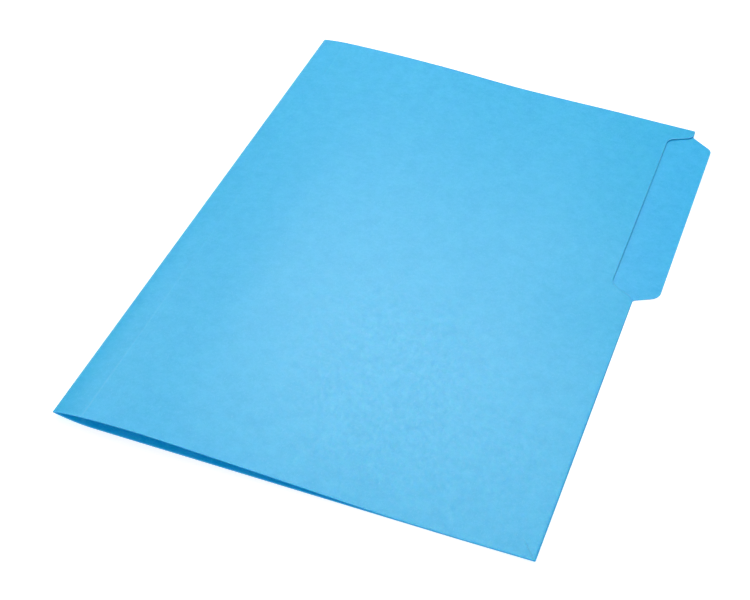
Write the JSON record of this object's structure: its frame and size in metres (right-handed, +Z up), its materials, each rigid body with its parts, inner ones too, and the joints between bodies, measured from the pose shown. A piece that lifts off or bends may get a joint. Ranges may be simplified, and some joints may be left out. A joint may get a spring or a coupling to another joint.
{
  "type": "file folder",
  "caption": "Card file folder lying closed, with a half-cut index tab on the back cover, a matching notch in the front cover and a scored spine that opens flat and spreads.",
  "frame": {"origin": "middle of the folder's footprint, on the surface it lies on", "axes": "+X from the fold to the index tab, +Y along the fold towards the tab's end, +Z up from the back cover to the front cover"},
  "size_m": [0.2372, 0.345, 0.0055],
  "materials": {
    "blue_card": "matte uncoated sky-blue card with a fine fibre grain"
  },
  "bodies": {
    "back_cover": {"back_cover": "blue_card"},
    "back_spine_strip": {"back_spine_strip": "blue_card"},
    "spine_fold": {"spine_fold": "blue_card"},
    "front_spine_strip": {"front_spine_strip": "blue_card"},
    "front_cover": {"front_cover": "blue_card"}
  },
  "joints": [
    {"name": "spine_spread", "type": "slide", "parent": "back_cover", "child": "spine_fold", "axis": [0.4772, 0, 0.8788], "range_m": [0, 0.00835]},
    {"name": "back_score_bend", "type": "hinge", "parent": "back_cover", "child": "back_spine_strip", "pos_m": [-0.10471, 0, 0.00015], "axis": [0, 1, 0], "range_deg": [0, 35]},
    {"name": "cover_open", "type": "hinge", "parent": "spine_fold", "child": "front_spine_strip", "pos_m": [-0.11835, 0, 0.0028], "axis": [0, -1, 0], "range_deg": [0, 176]},
    {"name": "front_score_bend", "type": "hinge", "parent": "front_spine_strip", "child": "front_cover", "pos_m": [-0.10459, 0, 0.00474], "axis": [0, -1, 0], "range_deg": [0, 5]}
  ],
  "couplings": [
    {"joint": "back_score_bend", "follows": "spine_spread", "rad_per_m": 73.073},
    {"joint": "front_score_bend", "follows": "cover_open", "ratio": 0.0284}
  ]
}
